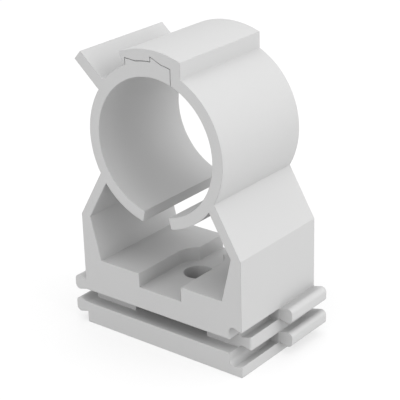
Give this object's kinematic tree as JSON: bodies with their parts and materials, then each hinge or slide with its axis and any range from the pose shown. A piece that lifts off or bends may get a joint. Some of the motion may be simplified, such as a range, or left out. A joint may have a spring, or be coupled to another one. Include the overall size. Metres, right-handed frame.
{
  "type": "pipe clip",
  "caption": "Moulded plastic pipe clip: split ring with a toothed latch and a release tab, on a two-tier base with a screw seat and side link rails.",
  "frame": {"origin": "centre of the base's underside, on the axis of the screw hole", "axes": "+Z from the wall through the base to the ring, +Y along the pipe from the front face to the back, +X to the right as seen from the front, the side of the hook's root"},
  "size_m": [0.0374, 0.02, 0.0505],
  "materials": {
    "moulding": "light grey plastic, plain matte as moulded"
  },
  "bodies": {
    "root": {"pipe_clip": "moulding"}
  },
  "joints": []
}
